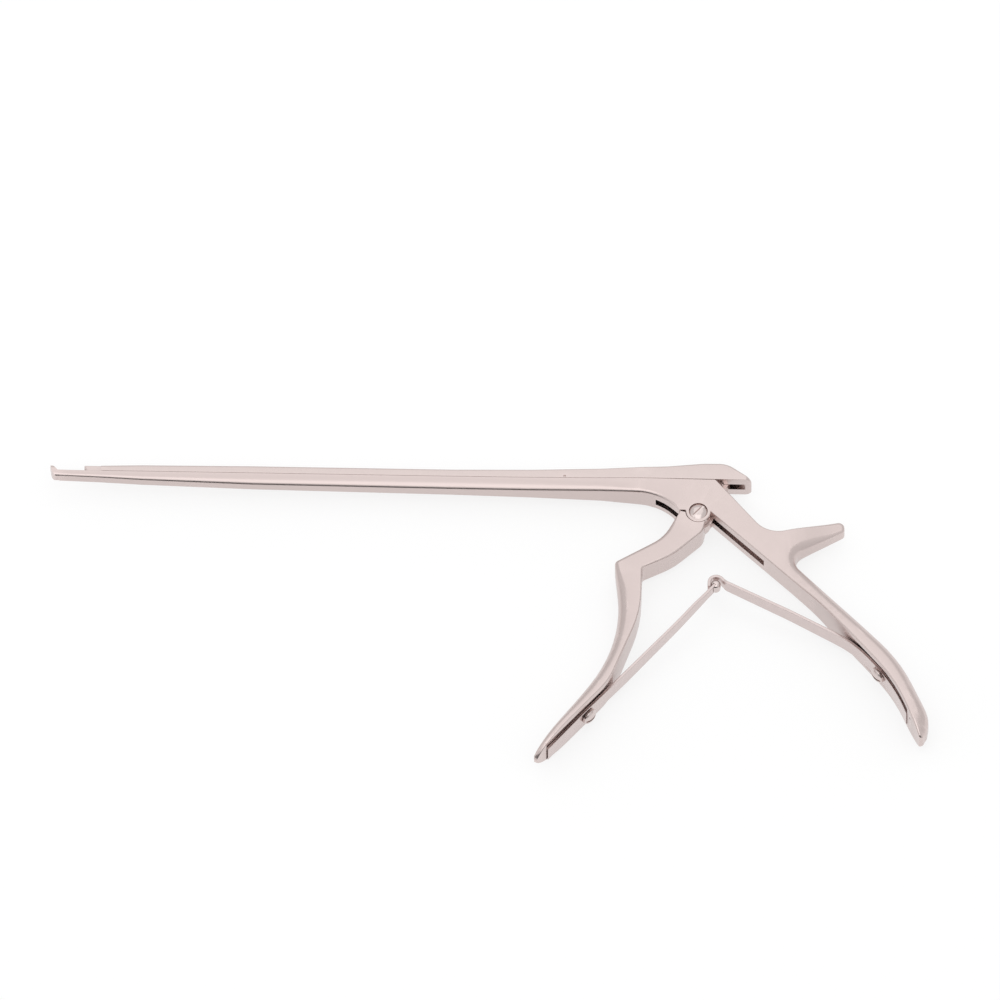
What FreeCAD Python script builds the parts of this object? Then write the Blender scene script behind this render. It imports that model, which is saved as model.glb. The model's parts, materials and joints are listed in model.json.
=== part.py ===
import FreeCAD, Part
import Sketcher
import math
import os
from types import SimpleNamespace

os.makedirs("parts", exist_ok=True)
doc = FreeCAD.newDocument("bone_rongeur")
V = FreeCAD.Vector

# Driving sizes in millimetres and degrees, measured from the pivot axis
values = {
    "thick": 9.0,
    "grip_width": 13.0,
    "grip_stock": 13.4,
    "rail_y": 12.15,
    "slot_width": 3.0,
    "side_play": 0.1,
    "ear_radius": 4.0,
    "ear_play": 0.15,
    "hub_radius": 4.9,
    "pivot_radius": 2.0,
    "pivot_play": 0.05,
    "pivot_head_radius": 2.95,
    "pivot_head_height": 1.5,
    "recess_depth": 1.15,
    "recess_play": 0.2,
    "shank_tail": 0.3,
    "lever_angle": 61.5,
    "lever_reach": 16.5,
    "fork_half": 1.25,
    "prong": 1.2,
    "pin_x": 7.5,
    "pin_y": 13.8,
    "pin_radius": 1.0,
    "pin_play": 0.02,
    "pin_start": 0.3,
    "pin_length": 7.3,
    "key_neck": 1.2,
    "key_head": 2.2,
    "key_length": 14.0,
    "key_play": 0.1,
    "key_lift": 0.05,
    "neck_depth": 0.7,
    "head_depth": 0.8,
    "travel": 9.4,
    "front_key_x": -186.0,
    "rear_key_x": -52.0,
    "window": 15.0,
    "foot_width": 4.0,
    "foot_top": 14.4,
    "foot_base_x": -205.4,
    "foot_lean": 0.727,
    "jaw_gap": 9.6,
    "cutter_width": 3.4,
    "cutter_top": 14.05,
    "cutter_end_x": -191.5,
    "cup_half": 1.1,
    "cup_low": 12.6,
    "cup_high": 13.7,
    "cup_depth": 2.8,
    "foot_cup_depth": 1.2,
    "leaf_width": 7.0,
    "leaf_thick": 1.0,
    "groove_width": 9.0,
    "bead_x": 6.1,
    "bead_y": -25.7,
    "bead_radius": 1.6,
    "bead_length": 4.0,
    "leaf_screw_radius": 1.5,
    "leaf_screw_play": 0.1,
    "leaf_head_radius": 2.75,
    "leaf_head_height": 1.4,
    "leaf_screw_length": 4.6,
    "leaf_hole_depth": 5.0,
    "seat_play": 0.1,
    "mark_radius": 0.5,
    "mark_depth": 1.2,
}
sheet = doc.addObject("Spreadsheet::Sheet", "Sizes")
for row, (alias, number) in enumerate(values.items(), 1):
    sheet.set(f"A{row}", alias)
    sheet.set(f"B{row}", str(number))
    sheet.setAlias(f"B{row}", alias)
doc.recompute()
g = SimpleNamespace(**values)
mid = g.thick / 2


# Helpers

def chain(points):
    """Lines and tangent corner arcs through (x, y, radius) corners of a closed outline."""
    n = len(points)
    cut = []
    for i, (x, y, r) in enumerate(points):
        here = V(x, y)
        a = (V(*points[i - 1][:2]) - here).normalize()
        b = (V(*points[(i + 1) % n][:2]) - here).normalize()
        half = math.acos(max(-1, min(1, a.dot(b)))) / 2
        reach = r / math.tan(half) if r else 0
        middle = None
        if r:
            bisect = (a + b).normalize()
            middle = here + bisect * (r / math.sin(half) - r)
        cut.append((here + a * reach, middle, here + b * reach))
    edges = []
    for i in range(n):
        start, middle, end = cut[i]
        if middle is not None:
            edges.append(Part.Arc(start, middle, end))
        following = cut[(i + 1) % n][0]
        if (following - end).Length > 1e-4:
            edges.append(Part.LineSegment(end, following))
    return edges


def sketch(body, name, outlines, role="XY_Plane", offset=0.0, turn=0.0, circles=()):
    sk = body.newObject("Sketcher::SketchObject", name)
    plane = [o for o in body.Origin.OriginFeatures if o.Role == role][0]
    sk.AttachmentSupport = [(plane, "")]
    sk.MapMode = "FlatFace"
    rotation = FreeCAD.Rotation(V(0, 1, 0), turn)
    sk.AttachmentOffset = FreeCAD.Placement(rotation.multVec(V(0, 0, offset)), rotation)
    for outline in outlines:
        for edge in chain(outline):
            sk.addGeometry(edge)
    for x, y, alias in circles:
        k = sk.addGeometry(Part.Circle(V(x, y, 0), V(0, 0, 1), 1.0))
        sk.addConstraint(Sketcher.Constraint("Radius", k, 1.0))
        sk.setExpression(f"Constraints[{sk.ConstraintCount - 1}]", alias)
    return sk


def pad(body, name, sk, length, reverse=False):
    f = body.newObject("PartDesign::Pad", name)
    f.Profile = sk
    f.setExpression("Length", length)
    f.Reversed = reverse
    return f


def pocket(body, name, sk, length=None, reverse=False):
    f = body.newObject("PartDesign::Pocket", name)
    f.Profile = sk
    if length is None:
        f.Type = "ThroughAll"
        f.SideType = "Symmetric"
    else:
        f.setExpression("Length", length)
        f.Reversed = reverse
    return f


def loft(body, name, sections):
    f = body.newObject("PartDesign::AdditiveLoft", name)
    f.Profile = sections[0]
    f.Sections = sections[1:]
    f.Ruled = True
    return f


def body_named(name):
    b = doc.addObject("PartDesign::Body", name)
    b.Label = name
    return b


def band(y0, y1, half, r_low, r_high):
    """A bar's cross-section in the YZ plane, rounded by its low and high corner radii."""
    return [(y0, mid - half, r_low), (y0, mid + half, r_low), (y1, mid + half, r_high), (y1, mid - half, r_high)]


def on_line(p, q, x):
    return (x, p[1] + (q[1] - p[1]) * (x - p[0]) / (q[0] - p[0]), 0)


def mirror(outline):
    return [(x, 2 * mid - z, r) for x, z, r in outline]


# Shaft stations: x, width, lower height, lower corner, upper height, upper corner
stations = [
    (-204.8, 4.0, 2.1, 1.2, None, None),
    (-191.5, 4.1, 2.5, 1.4, 2.1, 0.9),
    (-178.5, 4.35, 3.1, 1.6, 2.5, 0.9),
    (-143.0, 5.0, 3.95, 2.0, 2.8, 0.9),
    (-79.5, 6.0, 4.2, 2.0, 2.75, 0.8),
    (-54.0, 6.7, 4.35, 1.8, 3.05, 0.7),
    (-31.5, 7.9, 4.5, 1.2, 3.6, 0.6),
    (-19.0, 9.0, 5.1, 0.5, 4.15, 0.5),
]
block_x = stations[-1][0]

# Body frame: lower shaft, footplate, ears and rear handle
frame = body_named("body_frame")
rear_outer = [(66.3, -54.2, 55), (76.0, -75.6, 14), (75.5, -83.0, 7), (73.9, -87.2, 0.8)]
rear_inner = [(64.07, -62.4, 60), (38.8, -32.9, 80)]
spur = [(22.5, -7.76, 9), (46.6, -2.4, 1.7), (47.0, -6.1, 1.4), (29.0, -16.2, 4.5)]
e = g.ear_radius
side = [(block_x, g.rail_y, 0), (5.2, g.rail_y, 1.0)] + spur
side += [on_line(spur[-1], rear_outer[0], 35.0), on_line((e, 0), rear_inner[-1], 31.0)]
side += [(e, 0, 0), (e, -e, e), (-e, -e, e), (-e, 0.4, 0.2), (-6.1, 0.4, 0.15), (-12.8, 6.45, 18)]
side += [(block_x, g.rail_y - stations[-1][2], 0)]
pad(frame, "Block", sketch(frame, "BlockOutline", [side]), "Sizes.thick")

grip = [on_line(spur[-1], rear_outer[0], 34.4)] + rear_outer + rear_inner
grip += [on_line((e, 0), rear_inner[-1], 30.3)]
grip_low = (g.thick - g.grip_stock) / 2
pad(frame, "Grip", sketch(frame, "GripOutline", [grip], offset=grip_low), "Sizes.grip_stock")

wide = mid + g.grip_width / 2
narrow = g.thick
rear_turn = -52.0
upper = [(36, narrow, 0), (46, narrow + 0.3, 30), (70, wide, 60), (114.4, wide, 6.3)]
around = upper + mirror(upper)[::-1] + [(36, mid - 12, 0), (126, mid - 12, 0), (126, mid + 12, 0), (36, mid + 12, 0)]
pocket(frame, "GripPlan", sketch(frame, "GripPlanOutline", [around], "XZ_Plane", turn=rear_turn))

sections = []
for i, (x, w, low, r, high, r2) in enumerate(stations):
    outline = band(g.rail_y - low, g.rail_y, w / 2, r, 0)
    sections.append(sketch(frame, f"ShaftSection{i}", [outline], "YZ_Plane", x))
loft(frame, "Shaft", sections)

foot_tip_x = g.foot_base_x - g.foot_lean * (g.foot_top - g.rail_y)
foot = [
    (-203.0, g.rail_y, 0),
    (g.foot_base_x, g.rail_y, 0.2),
    (foot_tip_x, g.foot_top, 0.1),
    (foot_tip_x - 0.75, g.foot_top, 0.35),
    (foot_tip_x - 0.7, g.rail_y - 0.6, 2.0),
    (-206.0, g.rail_y - 2.1, 1.2),
    (-203.0, g.rail_y - 2.1, 0),
]
foot_half = g.foot_width / 2
foot_low = mid - foot_half
pad(frame, "Footplate", sketch(frame, "FootOutline", [foot], offset=foot_low), "Sizes.foot_width")
foot_face = band(g.rail_y - 2.1, g.foot_top, foot_half, 1.2, 1.7)
foot_room = band(g.rail_y - 6, g.foot_top + 4, foot_half + 4, 0, 0)
foot_round = sketch(frame, "FootFront", [foot_room, foot_face], "YZ_Plane", -204.8)
pocket(frame, "FootRounding", foot_round, "8 mm")
cup = band(g.cup_low, g.cup_high, g.cup_half, 0.5, 0.5)
pocket(frame, "FootCup", sketch(frame, "FootCupOutline", [cup], "YZ_Plane", g.foot_base_x), "Sizes.foot_cup_depth")

slot_low = mid - g.slot_width / 2
slot = [(-13.8, 13.5, 0), (11.0, 13.5, 0), (5.5, 3.3, 3), (9.0, -1.2, 3), (23.1, -14.6, 0), (20.2, -17.7, 0), (-13.8, -17.7, 0)]
pocket(frame, "Slot", sketch(frame, "SlotOutline", [slot], offset=slot_low), "Sizes.slot_width", True)
pocket(frame, "PivotBore", sketch(frame, "BoreOutline", [], circles=[(0, 0, "Sizes.pivot_radius + Sizes.pivot_play")]))
recess = sketch(frame, "RecessOutline", [], offset=g.thick, circles=[(0, 0, "Sizes.pivot_head_radius + Sizes.recess_play")])
pocket(frame, "Recess", recess, "Sizes.recess_depth")


def tee(neck, head, play):
    y1 = g.rail_y - g.neck_depth
    y2 = y1 - g.head_depth
    n, h = neck / 2 + play, head / 2 + play
    top = g.rail_y + 0.3
    return [
        (top, mid - n, 0), (top, mid + n, 0), (y1, mid + n, 0), (y1, mid + h, 0),
        (y2, mid + h, 0), (y2, mid - h, 0), (y1, mid - h, 0), (y1, mid - n, 0),
    ]


for tag, key_x in (("Front", g.front_key_x), ("Rear", g.rear_key_x)):
    start = key_x - g.travel - 0.6
    groove = sketch(frame, f"{tag}GrooveOutline", [tee(g.key_neck, g.key_head, g.key_play)], "YZ_Plane", start)
    pocket(frame, f"{tag}Groove", groove, "Sizes.key_length + Sizes.travel + 1.1 mm / 1 mm", True)
    open_x = key_x + g.key_length + 0.5
    half = g.key_head / 2 + g.key_play
    box = band(g.rail_y - g.neck_depth - g.head_depth, g.rail_y + 0.3, half, 0, 0)
    pocket(frame, f"{tag}Window", sketch(frame, f"{tag}WindowOutline", [box], "YZ_Plane", open_x), "Sizes.window", True)

# Rear spring seat in the rear handle
rear_up = [(69.2, -72.7, 0), (64.94, -61.88, 61), (51.4, -46.05, 15)]
rear_seat = [(69.3, -73.0, 0), rear_up[1], (47.0, -40.93, 0), (44.5, -43.1, 0), (52.0, -62.0, 0), (64.0, -75.1, 0)]
rear_out = V(-math.cos(math.radians(90 + rear_turn)), -math.sin(math.radians(90 + rear_turn)), 0)
rear_seat = [(x - rear_out.x * g.seat_play, y - rear_out.y * g.seat_play, r) for x, y, r in rear_seat]
groove_low = mid - g.groove_width / 2
pocket(frame, "SpringSeat", sketch(frame, "SpringSeatOutline", [rear_seat], offset=groove_low), "Sizes.groove_width", True)
rear_screw = V(59.23, -57.03, mid)
rear_s = rear_screw.x * math.cos(math.radians(rear_turn)) + rear_screw.y * math.sin(math.radians(rear_turn))
hole = sketch(
    frame, "RearScrewHole", [], "XZ_Plane", rear_screw.dot(rear_out), rear_turn,
    [(rear_s, mid, "Sizes.leaf_screw_radius + Sizes.leaf_screw_play / 2")],
)
pocket(frame, "RearScrewBore", hole, "Sizes.leaf_hole_depth")
dimple = sketch(frame, "DimpleOutline", [], offset=wide, circles=[(68.6, -77.2, "Sizes.mark_radius")])
pocket(frame, "Dimple", dimple, "Sizes.mark_depth / 2")

# Front handle: grip, finger rest, hub and forked lever
handle = body_named("front_handle")
lower = [(-22.9, -49.8, 53), (-49.7, -90.8, 8), (-51.0, -96.0, 0.6), (-26.8, -65.6, 25), (-17.45, -38.4, 45)]
front_side = [(-5.7, 0.1, 0.3), (-11.3, -9.7, 14), (-26.3, -19.4, 1.6)] + lower
front_side += [(-17.45, -21.6, 1.5), (-7.6, -16.5, 25), (1.65, -7.25, 5), (2.6, -2.0, 0)]
pad(handle, "Neck", sketch(handle, "HandleOutline", [front_side]), "Sizes.thick")
grip = [(-25.5, -26.8, 0)] + lower + [(-17.45, -30.1, 0)]
pad(handle, "Grip", sketch(handle, "HandleGripOutline", [grip], offset=grip_low), "Sizes.grip_stock")
front_turn = 67.5
upper = [(-33, narrow, 0), (-44, narrow + 0.2, 30), (-68, wide, 60), (-90, wide, 30), (-106.9, wide - 1.6, 4.8)]
around = upper + mirror(upper)[::-1] + [(-33, mid - 12, 0), (-118, mid - 12, 0), (-118, mid + 12, 0), (-33, mid + 12, 0)]
pocket(handle, "GripPlan", sketch(handle, "HandlePlanOutline", [around], "XZ_Plane", turn=front_turn))
ear = [(0, 0, "Sizes.ear_radius + Sizes.ear_play")]
cheek = "(Sizes.thick - Sizes.slot_width) / 2 + Sizes.side_play"
pocket(handle, "EarRoomFar", sketch(handle, "EarFarOutline", [], circles=ear), cheek, True)
pocket(handle, "EarRoomNear", sketch(handle, "EarNearOutline", [], offset=g.thick, circles=ear), cheek)
tongue_low = slot_low + g.side_play
tongue = "Sizes.slot_width - 2 * Sizes.side_play"
hub = sketch(handle, "HubOutline", [], offset=tongue_low, circles=[(0, 0, "Sizes.hub_radius")])
pad(handle, "Hub", hub, tongue)


def lever(r, off):
    a = math.radians(g.lever_angle)
    return (math.cos(a) * r + math.sin(a) * off, math.sin(a) * r - math.cos(a) * off)


wing = g.fork_half + g.prong
fork = [
    (*lever(0, -wing), 0), (*lever(g.lever_reach, -wing), 0.55), (*lever(g.lever_reach, -g.fork_half), 0.3),
    (*lever(11.9, -g.fork_half), 1.1), (*lever(11.9, g.fork_half), 1.1), (*lever(g.lever_reach, g.fork_half), 0.3),
    (*lever(g.lever_reach, wing), 0.85), (*lever(0, wing), 0),
]
pad(handle, "Lever", sketch(handle, "LeverOutline", [fork], offset=tongue_low), tongue)
pocket(handle, "HubBore", sketch(handle, "HubBoreOutline", [], circles=[(0, 0, "Sizes.pivot_radius + Sizes.pivot_play")]))
front_up = [(-46.6, -88.9, 0), (-36.0, -75.55, 100), (-6.0, -40.4, 80), (5.75, -25.5, 0)]
foot_turn = 51.5
front_out = V(math.sin(math.radians(foot_turn)), -math.cos(math.radians(foot_turn)), 0)
front_seat = [(-46.8, -89.15, 0), (-24.5, -61.1, 0), (-20.0, -66.0, 0), (-42.0, -93.0, 0)]
front_seat = [(x - front_out.x * g.seat_play, y - front_out.y * g.seat_play, r) for x, y, r in front_seat]
pocket(handle, "SpringSeat", sketch(handle, "HandleSeatOutline", [front_seat], offset=groove_low), "Sizes.groove_width", True)
front_screw = V(-33.42, -74.25, mid)
front_s = front_screw.x * math.cos(math.radians(foot_turn)) + front_screw.y * math.sin(math.radians(foot_turn))
hole = sketch(
    handle, "FrontScrewHole", [], "XZ_Plane", front_screw.dot(front_out), foot_turn,
    [(front_s, mid, "Sizes.leaf_screw_radius + Sizes.leaf_screw_play / 2")],
)
pocket(handle, "FrontScrewBore", hole, "Sizes.leaf_hole_depth")

# Slider: upper shaft with the cutter, the keys and the drive pocket
slider = body_named("slider")
sections = []
for i, (x, w, low, r, high, r2) in enumerate(stations[1:]):
    outline = band(g.rail_y, g.rail_y + high, w / 2, 0, r2)
    sections.append(sketch(slider, f"SliderSection{i}", [outline], "YZ_Plane", x))
loft(slider, "Bar", sections)
rear_end = 16.7
hump = [
    (block_x, g.rail_y, 0), (rear_end, g.rail_y, 0), (rear_end, g.rail_y + 0.4, 0.1), (8.95, 18.4, 3.0),
    (1.0, 18.25, 20), (-10.0, 16.95, 20), (block_x, g.rail_y + stations[-1][4], 0),
]
pad(slider, "Hump", sketch(slider, "HumpOutline", [hump]), "Sizes.thick")
end = [
    (11.0, 9.0, 0), (rear_end, 9.0, 2.2), (rear_end, 0, 2.2), (11.0, 0, 0), (11.0, -2, 0), (20, -2, 0),
    (20, 11, 0), (11.0, 11, 0),
]
pocket(slider, "HumpEnd", sketch(slider, "HumpEndOutline", [end], "XZ_Plane"))
room = [(3.0, 11.5, 0), (14.75, 11.5, 0), (14.75, 12.4, 0), (9.0, 17.06, 0.4), (3.0, 17.06, 0.4)]
pocket(slider, "DriveRoom", sketch(slider, "DriveRoomOutline", [room], offset=slot_low), "Sizes.slot_width", True)
pin_hole = sketch(slider, "PinHole", [], circles=[(g.pin_x, g.pin_y, "Sizes.pin_radius + Sizes.pin_play")])
pocket(slider, "PinBore", pin_hole, "Sizes.pin_start + Sizes.pin_length", True)
face_x = g.foot_base_x + g.jaw_gap
top_x = face_x - g.foot_lean * (g.cutter_top - g.rail_y)
head = [
    (g.cutter_end_x, g.rail_y, 0), (face_x, g.rail_y, 0), (top_x, g.cutter_top, 0),
    (g.cutter_end_x, g.cutter_top + 0.1, 0),
]
cutter_low = mid - g.cutter_width / 2
pad(slider, "Cutter", sketch(slider, "CutterOutline", [head], offset=cutter_low), "Sizes.cutter_width")
bite = sketch(slider, "CutterCupOutline", [cup], "YZ_Plane", top_x)
pocket(slider, "CutterCup", bite, "Sizes.cup_depth", True)
for tag, key_x in (("Front", g.front_key_x), ("Rear", g.rear_key_x)):
    y1 = g.rail_y - g.neck_depth - g.key_lift
    neck = band(y1 - 0.1, g.rail_y + 0.2, g.key_neck / 2, 0, 0)
    key_head = band(y1 - g.head_depth + 0.15, y1, g.key_head / 2, 0, 0)
    pad(slider, f"{tag}KeyNeck", sketch(slider, f"{tag}NeckOutline", [neck], "YZ_Plane", key_x), "Sizes.key_length")
    pad(slider, f"{tag}KeyHead", sketch(slider, f"{tag}HeadOutline", [key_head], "YZ_Plane", key_x), "Sizes.key_length")
mark = sketch(slider, "MarkOutline", [], offset=8.2, circles=[(-43.1, 12.7, "Sizes.mark_radius")])
pocket(slider, "Mark", mark, "Sizes.mark_depth")

# Drive pin across the slider
pin = body_named("drive_pin")
pin_round = sketch(pin, "PinOutline", [], offset=g.pin_start, circles=[(g.pin_x, g.pin_y, "Sizes.pin_radius")])
pad(pin, "Pin", pin_round, "Sizes.pin_length")


def screw(name, head_r, head_h, shank_r, length, slot_w, slot_d, turn):
    """A domed slotted screw on its own Z axis, its head resting on z 0."""
    b = body_named(name)
    crown = head_h * 0.72
    profile = [
        (0, -length, 0), (shank_r - 0.3, -length, 0), (shank_r, 0.3 - length, 0), (shank_r, 0, 0),
        (head_r, 0, 0), (head_r, crown, 0), (head_r * 0.6, head_h, 5.0), (0, head_h, 0),
    ]
    sk = sketch(b, f"{name}_profile", [profile], "XZ_Plane")
    rev = b.newObject("PartDesign::Revolution", f"{name}_turned")
    rev.Profile = sk
    rev.ReferenceAxis = (sk, ["V_Axis"])
    rev.Angle = 360
    c, s = math.cos(math.radians(turn)), math.sin(math.radians(turn))
    long, half = head_r + 1, slot_w / 2
    cut = [(c * x - s * y, s * x + c * y, 0) for x, y in ((-long, -half), (long, -half), (long, half), (-long, half))]
    pocket(b, f"{name}_slot", sketch(b, f"{name}_cut", [cut], offset=head_h + 0.2), f"{slot_d + 0.2} mm")
    return b


under_head = g.thick - g.recess_depth
pivot = screw(
    "pivot_screw", g.pivot_head_radius, g.pivot_head_height, g.pivot_radius, under_head - g.shank_tail,
    0.85, 0.7, 49,
)
front_fix = screw(
    "front_spring_screw", g.leaf_head_radius, g.leaf_head_height, g.leaf_screw_radius, g.leaf_screw_length,
    0.8, 0.6, 0,
)
rear_fix = screw(
    "rear_spring_screw", g.leaf_head_radius, g.leaf_head_height, g.leaf_screw_radius, g.leaf_screw_length,
    0.8, 0.6, 0,
)

# Leaf springs
t = g.leaf_thick
leaf_low = mid - g.leaf_width / 2
rear_leaf = body_named("rear_leaf_spring")
rear_line = rear_up + [
    (11.7, -26.2, 2.0), (8.05, -22.55, 3.2), (3.55, -22.55, 3.2), (3.55, -26.7, 0.2), (4.45, -26.7, 0.2),
    (4.45, -23.45, 2.3), (7.71, -23.45, 2.3), (11.46, -27.2, 1.1), (50.75, -46.85, 14), (64.07, -62.4, 60),
    (68.3, -73.1, 0),
]
pad(rear_leaf, "Leaf", sketch(rear_leaf, "RearLeafOutline", [rear_line], offset=leaf_low), "Sizes.leaf_width")
leaf_turn = -26.6
trim = [(8, 6.5, 0), (20.8, 6.5, 0.8), (23.2, 7.25, 0.8), (60, leaf_low + g.leaf_width, 0), (60, 12, 0), (8, 12, 0)]
plan = sketch(rear_leaf, "RearLeafPlan", [trim, mirror(trim)], "XZ_Plane", turn=leaf_turn)
pocket(rear_leaf, "LeafTrim", plan)
hole = sketch(
    rear_leaf, "RearLeafHole", [], "XZ_Plane", rear_screw.dot(rear_out) - 3, rear_turn,
    [(rear_s, mid, "Sizes.leaf_screw_radius + Sizes.leaf_screw_play")],
)
pocket(rear_leaf, "LeafHole", hole, "8 mm", True)

front_leaf = body_named("front_leaf_spring")
front_line = front_up + [(6.5, -26.1, 0), (-5.2, -41.05, 79), (-35.2, -76.2, 99), (-45.8, -89.5, 0)]
pad(front_leaf, "Leaf", sketch(front_leaf, "FrontLeafOutline", [front_line], offset=leaf_low), "Sizes.leaf_width")
leaf_turn = 50.2
trim = [(-60, leaf_low + g.leaf_width, 0), (-26, 6.8, 3), (-20, 6.3, 3), (-10, 6.3, 0), (-10, 12, 0), (-60, 12, 0)]
plan = sketch(front_leaf, "FrontLeafPlan", [trim, mirror(trim)], "XZ_Plane", turn=leaf_turn)
pocket(front_leaf, "LeafTrim", plan)
hole = sketch(
    front_leaf, "FrontLeafHole", [], "XZ_Plane", front_screw.dot(front_out) - 3, foot_turn,
    [(front_s, mid, "Sizes.leaf_screw_radius + Sizes.leaf_screw_play")],
)
pocket(front_leaf, "LeafHole", hole, "8 mm", True)

# Bead on the tip of the front leaf
bead = body_named("spring_roller")
bead_low = mid - g.bead_length / 2
circle = sketch(bead, "BeadOutline", [], offset=bead_low, circles=[(g.bead_x, g.bead_y, "Sizes.bead_radius")])
pad(bead, "Bead", circle, "Sizes.bead_length")
a, b = V(-6.0, -40.4, 0), V(5.75, -25.5, 0)
along = (b - a).normalize()
across = V(along.y, -along.x, 0)
p = [a + along * 8, b, b + across * t, a + along * 8 + across * t]
notch = sketch(bead, "BeadNotchOutline", [[(q.x, q.y, 0) for q in p]])
pocket(bead, "BeadNotch", notch)
doc.recompute()

# Place every piece: the frame's origin is the centre of the overall box, on its lowest plane
places = {
    pivot: FreeCAD.Placement(V(0, 0, under_head), FreeCAD.Rotation()),
    front_fix: FreeCAD.Placement(front_screw, FreeCAD.Rotation(V(0, 0, 1), front_out)),
    rear_fix: FreeCAD.Placement(rear_screw, FreeCAD.Rotation(V(0, 0, 1), rear_out)),
}
bodies = [frame, handle, slider, pin, pivot, front_fix, rear_fix, rear_leaf, front_leaf, bead]
for b in bodies:
    b.Placement = places.get(b, FreeCAD.Placement())
doc.recompute()
box = FreeCAD.BoundBox()
for b in bodies:
    box.add(b.Shape.optimalBoundingBox(False, False))
shift = FreeCAD.Placement(V(-box.Center.x, -box.Center.y, -box.ZMin), FreeCAD.Rotation())
for b in bodies:
    b.Placement = shift.multiply(b.Placement)
doc.recompute()
print("shift", shift.Base, "size", box.XLength, box.YLength, box.ZLength)
for o in doc.Objects:
    bad = [s for s in o.State if s in ("Invalid", "Error")]
    assert not bad, (o.Name, o.State)
for b in bodies:
    shape = b.Shape
    assert not shape.isNull() and shape.isValid(), b.Label
    print(b.Label, "solids", len(shape.Solids), "volume", round(shape.Volume, 1))
    shape.exportStep(f"parts/{b.Label}.step")
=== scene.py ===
import bpy
import bmesh
import json
import math
from mathutils import Matrix, Vector


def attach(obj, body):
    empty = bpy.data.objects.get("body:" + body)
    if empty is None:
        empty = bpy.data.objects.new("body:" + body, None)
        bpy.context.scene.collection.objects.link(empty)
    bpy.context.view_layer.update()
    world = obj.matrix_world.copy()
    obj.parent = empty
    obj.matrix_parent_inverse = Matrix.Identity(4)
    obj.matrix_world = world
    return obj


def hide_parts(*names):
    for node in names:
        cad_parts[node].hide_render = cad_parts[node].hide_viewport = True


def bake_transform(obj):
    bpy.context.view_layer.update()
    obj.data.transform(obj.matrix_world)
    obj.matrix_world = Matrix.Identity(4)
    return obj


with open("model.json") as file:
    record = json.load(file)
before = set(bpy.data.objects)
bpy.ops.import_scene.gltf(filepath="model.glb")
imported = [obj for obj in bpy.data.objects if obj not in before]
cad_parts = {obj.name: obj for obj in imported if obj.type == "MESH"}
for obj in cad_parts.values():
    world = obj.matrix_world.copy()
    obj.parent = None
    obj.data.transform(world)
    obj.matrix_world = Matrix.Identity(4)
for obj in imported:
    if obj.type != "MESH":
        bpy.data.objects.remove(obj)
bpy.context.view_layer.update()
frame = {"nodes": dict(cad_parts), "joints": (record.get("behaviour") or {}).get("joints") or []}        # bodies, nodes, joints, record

bpy.context.scene.view_settings.view_transform = "Standard"


def jointPlace(name):
    return Vector(next(j for j in frame["joints"] if j["name"] == name)["pos_m"])


# Everything is drawn in millimetres about the handle's pivot, x along the shaft and z up from the plates'
# middle, and goes to the part's own place and to metres when the piece is finished.
toPart = Matrix.Translation(jointPlace("handle_hinge")) @ Matrix.Scale(0.001, 4)
plates = {
    "half": 4.5, "slot": 3.0, "railY": 12.15, "railEdge": 0.12, "railGap": 0.04,
    "filletSteps": 8, "arcRun": 4.0, "cutStep": 1.6,
    "past": 8,           # z of the cuts that go past both faces
    "overlap": 3.0,      # how far a plate goes on before it is cut off where the shaft begins
    "shy": 0.002,        # how much a shaft's last section stays inside the plate
}
merge = {"same": 1e-5, "cuts": 0.004, "faces": 0.006, "flat": 0.0005}     # points nearer than this become one


def place(x, y, z):      # a point in millimetres about the pivot, in the part's frame
    return toPart @ Vector((x, y, z))


def level(degrees):      # a level direction
    turn = math.radians(degrees)
    return Vector((math.cos(turn), math.sin(turn), 0))


def eased(t):            # 0 to 1 with a soft start and a soft end
    t = max(0.0, min(1.0, t))
    return t * t * (3 - 2 * t)


view = {
    "azimuth": 1.42, "elevation": 58.0, "width": 0.320, "pixels": 1000, "pivotPixel": (698.3, 511.0),
    "distance": 2.0, "clipEnd": 20,
}


def makeCamera():
    az, el = math.radians(view["azimuth"]), math.radians(view["elevation"])
    right = Vector((math.cos(az), math.sin(az), 0))
    up = Vector((-math.sin(az) * math.sin(el), math.cos(az) * math.sin(el), math.cos(el)))
    back = right.cross(up)
    perPixel, middle = view["width"] / view["pixels"], view["pixels"] / 2
    px, py = view["pivotPixel"]
    target = place(0, 0, plates["half"]) + right * (middle - px) * perPixel + up * (py - middle) * perPixel
    camera = bpy.data.objects.new("camera", bpy.data.cameras.new("camera"))
    camera.data.type = "ORTHO"
    camera.data.ortho_scale = view["width"]
    camera.data.clip_end = view["clipEnd"]
    turn = Matrix((right, up, back)).transposed()
    camera.matrix_world = Matrix.Translation(target + back * view["distance"]) @ turn.to_4x4()
    bpy.context.collection.objects.link(camera)
    bpy.context.scene.camera = camera
    print("camera set")


# Node trees
def feed(tree, node, ins):
    # gives a node's inputs their values, or links from other nodes
    for key, value in ins.items():
        if isinstance(value, bpy.types.NodeSocket):
            tree.links.new(value, node.inputs[key])
        else:
            node.inputs[key].default_value = value


def newNode(tree, kind, ins=None, **settings):
    node = tree.nodes.new(kind)
    for key, value in settings.items():
        setattr(node, key, value)
    feed(tree, node, ins or {})
    return node


def mathNode(tree, how, a, b, clamp=False):
    return newNode(tree, "ShaderNodeMath", {0: a, 1: b}, operation=how, use_clamp=clamp).outputs["Value"]


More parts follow.
